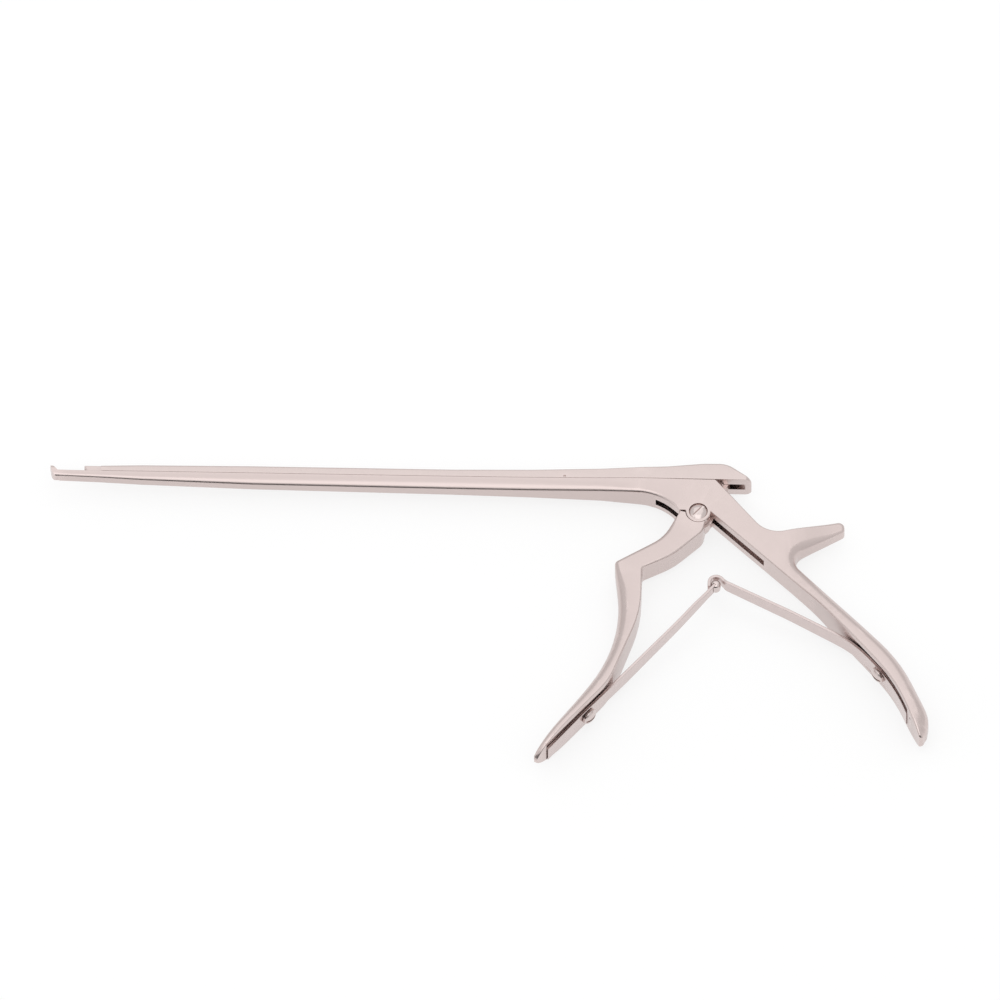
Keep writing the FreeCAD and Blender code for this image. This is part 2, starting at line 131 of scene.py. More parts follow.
def newGroup(kind, name, ins, outs):
    # ins and outs: label, socket kind and, where it has one, value
    group = bpy.data.node_groups.new(name, kind + "NodeTree")
    for way, rows in (("INPUT", ins), ("OUTPUT", outs)):
        for label, socketKind, *value in rows:
            socket = group.interface.new_socket(label, in_out=way, socket_type="NodeSocket" + socketKind)
            if value:
                socket.default_value = value[0]
    return group, group.nodes.new("NodeGroupInput").outputs, group.nodes.new("NodeGroupOutput")


light = {
    "world": 1.0, "matte": 0.9,
    "floor": {"tone": (0.92, 0.92, 0.92), "share": 0.78, "half": 6.0, "z": -0.0002},
    "card": {"spot": (0.0, -1.50, 0.46), "half": (1.3, 0.46), "tone": (0.02, 0.02, 0.02)},   # on the near side
    "lamps": [   # name, place, aim, size, watts
        ("overheadLamp", (0.05, 0.55, 0.95), (0.0, 0.0, 0.0), 0.9, 0.9),
        ("topLamp", (0.0, -0.40, 1.22), (0.0, 0.0, 0.0), 1.1, 2.5),
        ("leftLamp", (-0.9, -0.1, 0.7), (0.0, 0.0, 0.0), 0.6, 0.25),
    ],
}


def seenRays(tree):
    # 1 for rays that look at the background: straight, mirrored or through glass
    rays = newNode(tree, "ShaderNodeLightPath").outputs
    either = mathNode(tree, "MAXIMUM", rays["Is Camera Ray"], rays["Is Glossy Ray"])
    return mathNode(tree, "MAXIMUM", either, rays["Is Transmission Ray"])


def twoFaced(tree, share, lit, seen, end):
    # shows the second shader to this share of the rays, and the first to the rest
    pick = newNode(tree, "ShaderNodeMixShader", {"Fac": share, 1: lit, 2: seen})
    feed(tree, tree.nodes[end], {"Surface": pick.outputs["Shader"]})


def sheet(name, look, half, move, tone):
    # a flat matte square; gives also its material's tree and shader
    bm = bmesh.new()
    bmesh.ops.create_grid(bm, x_segments=1, y_segments=1, size=half)
    mesh = bpy.data.meshes.new(name)
    bm.to_mesh(mesh)
    bm.free()
    mesh.transform(move)
    obj = bpy.data.objects.new(name, mesh)
    bpy.context.collection.objects.link(obj)
    material = bpy.data.materials.new(look)
    material.use_nodes = True
    tree = material.node_tree
    matte = tree.nodes["Principled BSDF"]
    feed(tree, matte, {"Base Color": (*tone, 1), "Roughness": light["matte"]})
    mesh.materials.append(material)
    return obj, tree, matte


def makeLight():
    world = bpy.data.worlds.new("studio")
    bpy.context.scene.world = world
    world.use_nodes = True
    tree = world.node_tree
    lit = tree.nodes["Background"]
    feed(tree, lit, {"Color": (1, 1, 1, 1), "Strength": light["world"]})
    seen = newNode(tree, "ShaderNodeBackground", {"Strength": 1.0})
    twoFaced(tree, seenRays(tree), lit.outputs["Background"], seen.outputs["Background"], "World Output")
    for name, spot, aim, size, watts in light["lamps"]:
        lamp = bpy.data.objects.new(name, bpy.data.lights.new(name, "AREA"))
        lamp.data.size = size
        lamp.data.energy = watts
        spot = Vector(spot)
        turn = (Vector(aim) - spot).to_track_quat("-Z", "Y").to_matrix().to_4x4()
        lamp.matrix_world = Matrix.Translation(spot) @ turn
        bpy.context.collection.objects.link(lamp)
    f = light["floor"]
    floor, tree, matte = sheet("floor", "paperFloor", f["half"], Matrix.Translation((0, 0, f["z"])), f["tone"])
    feed(tree, matte, {"Specular IOR Level": 0.0})
    glow = newNode(tree, "ShaderNodeEmission", {"Strength": 1.0})
    share = mathNode(tree, "MULTIPLY", seenRays(tree), f["share"])
    twoFaced(tree, share, matte.outputs["BSDF"], glow.outputs["Emission"], "Material Output")
    spot = Vector(light["card"]["spot"])
    turn = (-spot).to_track_quat("Z", "Y").to_matrix().to_4x4()
    stand = Matrix.Translation(spot) @ turn @ Matrix.Diagonal((*light["card"]["half"], 1, 1))
    card = sheet("darkCard", "darkCard", 1.0, stand, light["card"]["tone"])[0]
    print("floor, card and light set")


# Shared finishes, as groups that put out colour, roughness and a height
def blastedGroup():      # fine bead-blasted grain with a slow cloud in the tone
    group, given, out = newGroup(
        "Shader", "blastedGrain",
        [
            ("Tone", "Color", (0.5, 0.5, 0.5, 1)), ("Cloud", "Float", 0.05), ("Roughness", "Float", 0.4),
            ("Rough Spread", "Float", 0.06), ("Grain Scale", "Float", 9000.0),
        ],
        [("Color", "Color"), ("Roughness", "Float"), ("Height", "Float")],
    )
    spot = newNode(group, "ShaderNodeTexCoord").outputs["Object"]
    fine = {"Vector": spot, "Scale": given["Grain Scale"], "Detail": 3.0, "Roughness": 0.6}
    grain = newNode(group, "ShaderNodeTexNoise", fine).outputs["Fac"]
    cloud = newNode(group, "ShaderNodeTexNoise", {"Vector": spot, "Scale": 70.0, "Detail": 4.0}).outputs["Fac"]
    drift = mathNode(group, "SUBTRACT", cloud, 0.5)
    swing = mathNode(group, "MULTIPLY", drift, given["Cloud"])
    speck = mathNode(group, "MULTIPLY", mathNode(group, "SUBTRACT", grain, 0.5), 0.05)
    value = mathNode(group, "ADD", mathNode(group, "ADD", swing, speck), 1.0)
    shade = newNode(group, "ShaderNodeHueSaturation", {"Color": given["Tone"], "Value": value})
    spread = mathNode(group, "MULTIPLY", drift, given["Rough Spread"])
    rough = mathNode(group, "ADD", given["Roughness"], mathNode(group, "MULTIPLY", spread, 2.0))
    feed(group, out, {"Color": shade.outputs["Color"], "Roughness": rough, "Height": grain})
    return group


def edgeGroup():         # edges rubbed brighter and smoother, from the piece's own edge attribute
    group, given, out = newGroup(
        "Shader", "rubbedEdge",
        [
            ("Color", "Color", (0.5, 0.5, 0.5, 1)), ("Roughness", "Float", 0.4),
            ("Bright", "Color", (0.8, 0.8, 0.8, 1)), ("Smooth", "Float", 0.22), ("Amount", "Float", 0.6),
        ],
        [("Color", "Color"), ("Roughness", "Float")],
    )
    edge = newNode(group, "ShaderNodeAttribute", attribute_name="edge").outputs["Fac"]
    spot = newNode(group, "ShaderNodeTexCoord").outputs["Object"]
    patch = newNode(group, "ShaderNodeTexNoise", {"Vector": spot, "Scale": 420.0, "Detail": 3.0}).outputs["Fac"]
    broken = mathNode(group, "ADD", mathNode(group, "MULTIPLY", patch, 0.9), 0.35)
    mask = mathNode(group, "MULTIPLY", mathNode(group, "MULTIPLY", edge, broken), given["Amount"], True)
    ends = {"Factor": mask, "A": given["Color"], "B": given["Bright"]}
    color = newNode(group, "ShaderNodeMix", ends, data_type="RGBA").outputs["Result"]
    ends = {"Factor": mask, "A": given["Roughness"], "B": given["Smooth"]}
    rough = newNode(group, "ShaderNodeMix", ends, data_type="FLOAT").outputs["Result"]
    feed(group, out, {"Color": color, "Roughness": rough})
    return group


def brushGroup():        # fine straight scratches along one direction of the piece
    group, given, out = newGroup(
        "Shader", "brushedLines",
        [("Turn", "Float", 0.0), ("Along", "Float", 60.0), ("Across", "Float", 6000.0)],
        [("Height", "Float")],
    )
    spot = newNode(group, "ShaderNodeTexCoord").outputs["Object"]
    ins = {"Vector": spot, "Angle": given["Turn"]}
    turn = newNode(group, "ShaderNodeVectorRotate", ins, rotation_type="Z_AXIS")
    ins = {"X": given["Along"], "Y": given["Across"], "Z": given["Across"]}
    size = newNode(group, "ShaderNodeCombineXYZ", ins)
    ends = {0: turn.outputs["Vector"], 1: size.outputs["Vector"]}
    stretch = newNode(group, "ShaderNodeVectorMath", ends, operation="MULTIPLY").outputs["Vector"]
    lines = newNode(group, "ShaderNodeTexNoise", {"Vector": stretch, "Scale": 1.0, "Detail": 2.0})
    feed(group, out, {"Height": lines.outputs["Fac"]})
    return group


finishes = {     # grain and brush are the depths of the two reliefs, turn is the brushing's direction
    "satinSteel": {
        "tone": (0.64, 0.545, 0.525), "rough": 0.30, "cloud": 0.04, "grain": 0.08, "brush": 0.0, "turn": 0.0,
    },
    "shaftSteel": {
        "tone": (0.64, 0.55, 0.53), "rough": 0.27, "cloud": 0.04, "grain": 0.06, "brush": 0.10, "turn": 0.0,
    },
    "springSteel": {
        "tone": (0.62, 0.53, 0.515), "rough": 0.28, "cloud": 0.05, "grain": 0.05, "brush": 0.12, "turn": 0.9,
    },
    "turnedSteel": {
        "tone": (0.68, 0.59, 0.57), "rough": 0.22, "cloud": 0.04, "grain": 0.04, "brush": 0.0, "turn": 0.0,
    },
}
rubbed = {"bright": 1.18, "smooth": 0.7}
relief = {"Strength": 0.5, "Distance": 0.00002}


def makeFinishes():
    groups = {"grain": blastedGroup(), "edge": edgeGroup(), "brush": brushGroup()}
    made = {}
    for name, f in finishes.items():
        material = bpy.data.materials.new(name)
        material.use_nodes = True
        tree = material.node_tree
        ins = {"Tone": (*f["tone"], 1), "Cloud": f["cloud"], "Roughness": f["rough"]}
        grain = newNode(tree, "ShaderNodeGroup", ins, node_tree=groups["grain"]).outputs
        bright = [min(1.0, c * rubbed["bright"]) for c in f["tone"]]
        ins = {
            "Color": grain["Color"], "Roughness": grain["Roughness"],
            "Bright": (*bright, 1), "Smooth": f["rough"] * rubbed["smooth"],
        }
        edge = newNode(tree, "ShaderNodeGroup", ins, node_tree=groups["edge"]).outputs
        height = mathNode(tree, "MULTIPLY", grain["Height"], f["grain"])
        if f["brush"]:
            brush = newNode(tree, "ShaderNodeGroup", {"Turn": f["turn"]}, node_tree=groups["brush"])
            lines = mathNode(tree, "MULTIPLY", brush.outputs["Height"], f["brush"])
            height = mathNode(tree, "ADD", height, lines)
        bump = newNode(tree, "ShaderNodeBump", {**relief, "Height": height})
        feed(tree, tree.nodes["Principled BSDF"], {
            "Metallic": 1.0, "Base Color": edge["Color"], "Roughness": edge["Roughness"],
            "Normal": bump.outputs["Normal"],
        })
        made[name] = material
    print("finishes made:", ", ".join(made))
    return made


makeCamera()
makeLight()
finish = makeFinishes()


# Outlines and solids
def rounded(corners, turnStep=6.0, run=3.0):
    # corners: (x, y, corner radius, edge radius). Gives points with tangent arcs, counter-clockwise,
    # and an edge radius that changes smoothly from one to the next.
    count = len(corners)
    points = []
    for i, (x, y, r, e) in enumerate(corners):
        here = Vector((x, y))
        a = (Vector(corners[i - 1][:2]) - here).normalized()
        b = (Vector(corners[(i + 1) % count][:2]) - here).normalized()
        half = math.acos(max(-1, min(1, a.dot(b)))) / 2
        if r <= 0:
            points.append((here, e))
            continue
        reach = r / math.tan(half)
        centre = here + (a + b).normalized() * (r / math.sin(half))
        start, end = here + a * reach - centre, here + b * reach - centre
        sweep = start.angle_signed(end)
        turns = math.ceil(abs(math.degrees(sweep)) / turnStep)
        steps = max(2, turns, math.ceil(abs(sweep) * r / plates["arcRun"]))
        for k in range(steps + 1):
            p = start.copy()
            p.rotate(Matrix.Rotation(-sweep * k / steps, 2))
            points.append((centre + p, e))
    filled = []
    for i, (p, e) in enumerate(points):
        q, f = points[(i + 1) % len(points)]
        if (q - p).length < merge["same"]:
            continue
        parts = max(1, math.ceil((q - p).length / run))
        for k in range(parts):
            filled.append((p.lerp(q, k / parts), e + (f - e) * eased(k / parts)))
    area = sum(filled[i - 1][0].cross(filled[i][0]) for i in range(len(filled)))
    return filled if area > 0 else filled[::-1]


def inward(points):
    # the way in at each point, one unit from both of its sides, and not far longer at a sharp corner
    offsets = []
    for i, (p, e) in enumerate(points):
        a = (p - points[i - 1][0]).normalized()
        b = (points[(i + 1) % len(points)][0] - p).normalized()
        n1, n2 = Vector((-a.y, a.x)), Vector((-b.y, b.x))
        offsets.append((n1 + n2) / max(0.35, 1 + n1.dot(n2)))
    return offsets


def skinned(places):
    # a skin over rings of places, with a cap at each end
    bm = bmesh.new()
    rings = [[bm.verts.new(spot) for spot in ring] for ring in places]
    for low, high in zip(rings, rings[1:]):
        for i in range(len(low)):
            j = (i + 1) % len(low)
            bm.faces.new((low[i], low[j], high[j], high[i]))
    bm.faces.new(rings[0][::-1])
    bm.faces.new(rings[-1])
    return bm


def plate(corners, half):
    # a flat plate about z 0 whose rim is rounded by each corner's edge radius
    points = rounded(corners)
    offsets = inward(points)
    steps = plates["filletSteps"]
    rings = []
    for side, order in ((-1, range(steps, -1, -1)), (1, range(steps + 1))):
        for k in order:
            angle = math.pi / 2 * k / steps
            ring = []
            for (p, e), n in zip(points, offsets):
                q = p + n * e * (1 - math.cos(angle))
                ring.append((q.x, q.y, side * (half - e + e * math.sin(angle))))
            rings.append(ring)
    return skinned(rings)


def prism(corners, low, high):
    # a sharp-edged cutter or block of (x, y, corner radius), from z low to z high
    points = [point[0] for point in rounded([(*c, 0) for c in corners])]
    return skinned([[(p.x, p.y, z) for p in points] for z in (low, high)])


def circle(x, y, radius, angles, *more):
    # corners on a circle, each with the values that follow its place
    return [(x + radius * math.cos(a), y + radius * math.sin(a), *more) for a in angles]


def tube(x, y, radius, low, high, sides=48):
    return prism(circle(x, y, radius, [2 * math.pi * k / sides for k in range(sides)], 0), low, high)


def facing(out):
    # turns z to a level direction: x then runs along the face, and y across the plates
    out = Vector(out).normalized()
    return Matrix((Vector((-out.y, out.x, 0)), Vector((0, 0, 1)), out)).transposed().to_4x4()


def turned(bm, spot, out):
    bm.transform(Matrix.Translation(Vector(spot)) @ facing(out))
    return bm


def along(outline, x0, x1):
    # a prism of a (y, z) outline that runs from x0 to x1
    bm = prism(outline, x0, x1)
    bm.transform(Matrix(((0, 0, 1, 0), (1, 0, 0, 0), (0, 1, 0, 0), (0, 0, 0, 1))))
    return bm


def slices(bm, u, stops, flats=False):
    # cuts edges across the faces, at each stop along u
    for s in stops:
        faces = bm.faces[:]
        if flats:        # only the flat top and bottom, so that the rounded rim keeps its even faces
            bm.normal_update()
            faces = [f for f in faces if abs(f.normal.z) > 0.99]
        edges = {e for f in faces for e in f.edges}
        verts = {v for f in faces for v in f.verts}
        bmesh.ops.bisect_plane(
            bm, geom=[*verts, *edges, *faces], dist=merge["same"], plane_co=Vector(u) * s, plane_no=Vector(u),
        )


def squared(bm, x):
    # cuts a plate's end off flat at x, so that a bar of the same section goes on from it
    everything = bm.verts[:] + bm.edges[:] + bm.faces[:]
    bmesh.ops.bisect_plane(
        bm, geom=everything, dist=merge["same"], plane_co=(x, 0, 0), plane_no=(1, 0, 0), clear_inner=True,
    )
    bmesh.ops.holes_fill(bm, edges=[edge for edge in bm.edges if edge.is_boundary])


def widened(bm, u, half, width):
    # widens a plate about z 0 by its half width at each place along u
    u = Vector(u)
    for v in bm.verts:
        v.co.z *= width(v.co.dot(u)) / half


def section(y0, y1, half, rLow, rHigh, stretch=1.0):
    # a bar's section in (y, z), from its low edge at y0 to its high edge at y1; stretch draws the low corners
    # out in y
    ring = []
    steps = plates["filletSteps"]
    corners = ((y0, -half, rLow, 270), (y0, half, rLow, 180), (y1, half, rHigh, 90), (y1, -half, rHigh, 0))
    for y, z, r, start in corners:
        ry = r * stretch if y == y0 else r
        cy = y + ry if y == y0 else y - ry
        cz = z + r if z < 0 else z - r
        for k in range(steps + 1):
            a = math.radians(start - 90 * k / steps)
            ring.append((cy + ry * math.cos(a), cz + r * math.sin(a)))
    return ring


def bar(sections):
    # a bar lofted along x through its sections
    bm = skinned([[(x, y, z) for y, z in ring] for x, ring in sections])
    bmesh.ops.recalc_face_normals(bm, faces=bm.faces)
    return bm


def toObject(bm, name):
    bmesh.ops.remove_doubles(bm, verts=bm.verts, dist=merge["same"])
    bmesh.ops.recalc_face_normals(bm, faces=bm.faces)
    mesh = bpy.data.meshes.new(name)
    bm.to_mesh(mesh)
    bm.free()
    obj = bpy.data.objects.new(name, mesh)
    bpy.context.collection.objects.link(obj)
    return obj


def plainMesh(obj):
    # the object's mesh as its modifiers leave it
    return bpy.data.meshes.new_from_object(obj.evaluated_get(bpy.context.evaluated_depsgraph_get()))


def settled(obj):
    # turns the object's modifiers into a plain mesh
    mesh = plainMesh(obj)
    obj.modifiers.clear()
    old = obj.data
    obj.data = mesh
    bpy.data.meshes.remove(old)


def combine(obj, bm, how="DIFFERENCE"):
    tool = toObject(bm, "tool")
    step = obj.modifiers.new("combine", "BOOLEAN")
    step.object = tool
    step.operation = how
    step.solver = "MANIFOLD"
    settled(obj)
    bpy.data.objects.remove(tool)


edgeMark = {"least": 5, "narrow": 0.08, "full": 2.2}     # degrees, mm, and the bend per mm that counts as 1


def markEdges(mesh):
    # writes how sharply the surface bends at each point, for the rubbed edges
    bm = bmesh.new()
    bm.from_mesh(mesh)
    bend = [0.0] * len(bm.verts)
    for edge in bm.edges:
        if len(edge.link_faces) != 2:
            continue
        angle = edge.calc_face_angle_signed(0.0)
        if angle < math.radians(edgeMark["least"]):
            continue
        across = min(f.calc_area() for f in edge.link_faces) / max(edge.calc_length(), 1e-6)
        value = min(1.0, angle / max(across, edgeMark["narrow"]) / edgeMark["full"])
        for v in edge.verts:
            bend[v.index] = max(bend[v.index], value)
    bm.free()
    attribute = mesh.attributes.new("edge", "FLOAT", "POINT")
    attribute.data.foreach_set("value", bend)


def cleaned(obj):
    # merges the hair-fine leftovers of the cuts, so that no face has a zero area
    bm = bmesh.new()
    bm.from_mesh(obj.data)
    bmesh.ops.remove_doubles(bm, verts=bm.verts, dist=merge["cuts"])
    bmesh.ops.dissolve_degenerate(bm, edges=bm.edges, dist=merge["cuts"])
    straight = [v for v in bm.verts if len(v.link_edges) == 2 and v.calc_edge_angle(0) < 0.002]
    bmesh.ops.dissolve_verts(bm, verts=straight)
    bm.to_mesh(obj.data)
    bm.free()


def finishPiece(obj, name, body, nodes, look, bevel=0.13, limit=40):
    # breaks the sharp edges, sets the shading and hands the piece to its body
    cleaned(obj)
    if bevel:
        step = obj.modifiers.new("breaks", "BEVEL")
        step.width = bevel
        step.segments = 2
        step.limit_method = "ANGLE"
        step.angle_limit = math.radians(limit)
        step.use_clamp_overlap = True
        settled(obj)
    bm = bmesh.new()
    bm.from_mesh(obj.data)
    bmesh.ops.triangulate(bm, faces=[f for f in bm.faces if len(f.verts) > 4], ngon_method="BEAUTY")
    bmesh.ops.remove_doubles(bm, verts=bm.verts, dist=merge["faces"])
    bmesh.ops.dissolve_degenerate(bm, edges=bm.edges, dist=merge["flat"])
    bm.to_mesh(obj.data)
    bm.free()
    obj.data.shade_smooth()
    obj.data.set_sharp_from_angle(angle=math.radians(38))
    step = obj.modifiers.new("flats", "WEIGHTED_NORMAL")
    step.keep_sharp = True
    settled(obj)
    mesh = obj.data
    markEdges(mesh)
    mesh.transform(toPart)
    mesh.materials.clear()
    mesh.materials.append(finish[look])
    obj.name = mesh.name = name
    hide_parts(*nodes)
    if body:             # a leaf has none, because the real leaf bends between two bodies; here it is left unattached
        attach(obj, body)
    print(name, len(mesh.polygons), "faces")
    return obj


# The shafts' common stations. Low is the lower shaft's height and high the upper one's, each with its outer
# corners' radius, and stretch draws the lower shaft's corners out.
stationNames = ("x", "width", "low", "lowRound", "high", "highRound", "stretch")
stations = [dict(zip(stationNames, row)) for row in (
    (-204.8, 4.0, 2.1, 0.9, 2.1, 0.9, 1.0),
    (-191.5, 4.1, 2.5, 1.05, 2.1, 0.9, 1.1),
    (-178.5, 4.35, 3.1, 1.25, 2.5, 0.9, 1.2),
    (-143.0, 5.0, 3.95, 1.6, 2.8, 0.9, 1.5),
    (-79.5, 6.0, 4.2, 1.75, 2.75, 0.8, 1.85),
    (-54.0, 6.7, 4.35, 1.7, 3.05, 0.7, 1.8),
    (-31.5, 7.9, 4.5, 1.5, 3.6, 0.6, 1.5),
    (-19.0, 9.0, 5.1, 1.3, 4.15, 0.5, 1.0),
)]


def finer(rows, most=3.0):
    # the same stations with even ones between them
    out = []
    for a, b in zip(rows, rows[1:]):
        parts = max(1, math.ceil((b["x"] - a["x"]) / most))
        for k in range(parts):
            out.append({key: a[key] + (b[key] - a[key]) * k / parts for key in a})
    return out + [rows[-1]]


def shaftBar(rows, ring):
    # a shaft through its stations, which goes on a hair into the plate behind it
    sections = [(s["x"], ring(s, 0)) for s in finer(rows)]
    return bar(sections + [(rows[-1]["x"] + 0.01, ring(rows[-1], plates["shy"]))])


jaw = {
    "lean": 0.727, "gap": 9.6, "footX": -205.4, "footTop": 14.4, "footLow": 2.1, "footHalf": 2.0,
    "footRoot": -203.0, "footHeel": -205.9, "footPast": (-215, -200), "footCup": (-1.2, 2),
    "cutterTop": 14.05, "cutterHalf": 1.7, "cutterRoot": -191.0, "cutterCup": (-0.5, 2.8),
    "cup": [(12.6, -1.1, 0.5), (13.7, -1.1, 0.5), (13.7, 1.1, 0.5), (12.6, 1.1, 0.5)],
}


def footplate():
    # the leaned plate at the tip of the lower shaft, with its cup
    railY, top, half, root = plates["railY"], jaw["footTop"], jaw["footHalf"], jaw["footRoot"]
    low = railY - jaw["footLow"]
    tipX = jaw["footX"] - jaw["lean"] * (top - railY)
    side = [
        (root, railY, 0), (jaw["footX"], railY, 0.3), (tipX - 0.3, top, 0.1), (tipX - 0.75, top, 0.15),
        (tipX - 0.15, railY - 0.9, 3.0), (jaw["footHeel"], low, 0.8), (root, low, 0),
    ]
    foot = toObject(prism(side, -half, half), "foot")
    face = [(low, -half, 1.2), (top, -half, 1.7), (top, half, 1.7), (low, half, 1.2)]
    combine(foot, along(face, *jaw["footPast"]), "INTERSECT")
    combine(foot, along(jaw["cup"], *(jaw["footX"] + x for x in jaw["footCup"])))
    bm = bmesh.new()
    bm.from_mesh(foot.data)
    bpy.data.objects.remove(foot)
    return bm


# The T keys under the upper shaft and their slots in the rail. A shape has its heights from the rail and its
# half width, and a run its ends from the key's front.
keys = {
    "places": (-186.0, -52.0), "run": (0.0, 14.0), "neck": (-0.85, 0.2, 0.6), "foot": (-1.4, -0.75, 1.1),
    "slot": {"top": 0.4, "neck": 0.7, "step": -0.7, "head": 1.2, "low": -1.5, "run": (-10.0, 15.1)},
    "window": (-1.5, 0.4, 1.2), "windowRun": (14.5, 29.5),
}


def oblong(y, low, high, half):
    return [(y + low, -half, 0), (y + low, half, 0), (y + high, half, 0), (y + high, -half, 0)]


def keySlot():
    # a T: a narrow neck over a wide head
    top, step, low = (plates["railY"] + keys["slot"][side] for side in ("top", "step", "low"))
    neck, head = keys["slot"]["neck"], keys["slot"]["head"]
    return [
        (top, -neck, 0), (top, neck, 0), (step, neck, 0), (step, head, 0),
        (low, head, 0), (low, -head, 0), (step, -head, 0), (step, -neck, 0),
    ]


block = {        # the body's plate round the pivot: x, y, corner radius, edge radius
    "top": [
        (stations[-1]["x"] - plates["overlap"], plates["railY"], 0, plates["railEdge"]),
        (5.2, plates["railY"], 1.0, 0.3),
    ],
    "ear": [(4.0, 0, 0, 0.35), (4.0, -4.0, 4.0, 0.35), (-4.0, -4.0, 4.0, 0.35), (-4.0, 0.4, 0.2, 0.15)],
    "front": [
        (-6.1, 0.4, 0.15, 0.15), (-12.8, 6.45, 18, 1.3),
        (stations[-1]["x"] - plates["overlap"], plates["railY"] - 4.81, 0, 1.3),
    ],
    "slot": [
        (-13.8, 13.5, 0), (11.0, 13.5, 0), (5.5, 3.3, 3), (9.0, -1.2, 3),
        (23.1, -14.6, 0), (20.2, -17.7, 0), (-13.8, -17.7, 0),
    ],
}
axle = {"hole": 2.05, "seat": 3.02, "seatDepth": 1.15}
springFoot = {"play": 0.1, "z": (-4.5, 4.7), "grooveZ": (1.7, 4.6), "hole": 1.55, "holeRun": (-5.0, 3.0)}

# The fixed handle. Its width grows from narrow to wide between start and full, and rounds off towards its end.
grip = {
    "turn": -52.0, "narrow": 4.5, "wide": 6.5, "start": 36.0, "full": 70.0, "round": 98.0, "end": 111.6,
    "cuts": {"first": 38, "count": 38, "endTurns": (6, 78, 4)},
    "spur": [(22.5, -7.76, 9, 0.6), (46.6, -1.3, 1.8, 1.2), (47.0, -5.0, 1.5, 1.2), (29.0, -16.0, 4.5, 3.0)],
    "spurThin": {"rootX": 28.0, "length": 19.0, "share": 0.48, "above": -16.5, "cutStep": 1.7, "cuts": 12},
    "outer": [(66.3, -54.2, 55, 3.6), (76.0, -75.6, 11, 3.2), (75.1, -80.6, 5, 2.2), (73.2, -83.8, 0.9, 0.8)],
    "inner": [(64.07, -62.4, 60, 0.5), (38.8, -32.9, 80, 0.5)],
    "seat": [
        (69.3, -73.0, 0), (64.94, -61.88, 61), (53.23, -48.21, 20), (47.24, -43.22, 0),
        (46.0, -45.5, 0), (52.0, -62.0, 0), (64.0, -75.1, 0),
    ],
    "groove": [(55.0, -50.4, 0.5), (67.1, -62.2, 28), (69.6, -71.9, 0), (60.0, -66.0, 0)],
    "screw": (59.23, -57.03, -0.5), "screwTurn": 218.0,
    "mark": {"radius": 0.45, "run": (-0.5, 1.0), "spot": (69.47, -75.4, 2.4), "out": (-0.923, -0.384, 0)},
}


def gripWidth(shape, s):
    growth = eased((s - shape["start"]) / (shape["full"] - shape["start"]))
    half = shape["narrow"] + (shape["wide"] - shape["narrow"]) * growth
    past = max(0.0, (s - shape["round"]) / (shape["end"] - shape["round"]))
    return max(half * math.sqrt(max(0.0, 1 - past * past)), 0.25)


def gripStops(shape):
    # where a grip is cut across, so that its width can change: even steps, then closer ones round its end
    cuts, reach = shape["cuts"], shape["end"] - shape["round"]
    even = [cuts["first"] + plates["cutStep"] * k for k in range(cuts["count"])]
    return even + [shape["round"] + reach * math.sin(math.radians(a)) for a in range(*cuts["endTurns"])]


def springSeat(obj, shape):
    # the seat of a leaf's foot with a little play, the shallow groove beside it and the screw's hole
    f, out = springFoot, level(shape["screwTurn"])
    seat = [(x - out.x * f["play"], y - out.y * f["play"], r) for x, y, r in shape["seat"]]
    combine(obj, prism(seat, *f["z"]))
    combine(obj, prism(shape["groove"], *f["grooveZ"]))
    combine(obj, turned(tube(0, 0, f["hole"], *f["holeRun"]), shape["screw"], out))


def makeFrameBody():
    railY, half, past = plates["railY"], plates["half"], plates["past"]
    handle = grip["spur"] + grip["outer"] + grip["inner"]
    bm = plate(block["top"] + handle + block["ear"] + block["front"], half)
    squared(bm, stations[-1]["x"])
    u = level(grip["turn"])
    slices(bm, u, gripStops(grip))
    widened(bm, u, half, lambda s: gripWidth(grip, s))
    spur = grip["spurThin"]
    slices(bm, (1, 0, 0), [spur["rootX"] + spur["cutStep"] * k for k in range(spur["cuts"])], flats=True)
    for v in bm.verts:
        if v.co.y > spur["above"]:
            v.co.z *= 1 - spur["share"] * eased((v.co.x - spur["rootX"]) / spur["length"])
    body = toObject(bm, "frameBody")

    def ring(s, shy):
        low, high = railY - s["low"] + shy, railY - shy
        return section(low, high, s["width"] / 2 - shy, s["lowRound"], plates["railEdge"], s["stretch"])

    combine(body, shaftBar(stations, ring), "UNION")
    combine(body, footplate(), "UNION")
    combine(body, prism(block["slot"], -plates["slot"] / 2, plates["slot"] / 2))
    combine(body, tube(0, 0, axle["hole"], -past, past))
    combine(body, tube(0, 0, axle["seat"], half - axle["seatDepth"], past))
    for keyX in keys["places"]:
        combine(body, along(keySlot(), *(keyX + x for x in keys["slot"]["run"])))
        combine(body, along(oblong(railY, *keys["window"]), *(keyX + x for x in keys["windowRun"])))
    springSeat(body, grip)
    mark = grip["mark"]
    combine(body, turned(tube(0, 0, mark["radius"], *mark["run"], 24), mark["spot"], mark["out"]))
    finishPiece(body, "frameBody", "frame", ["body_frame"], "satinSteel")


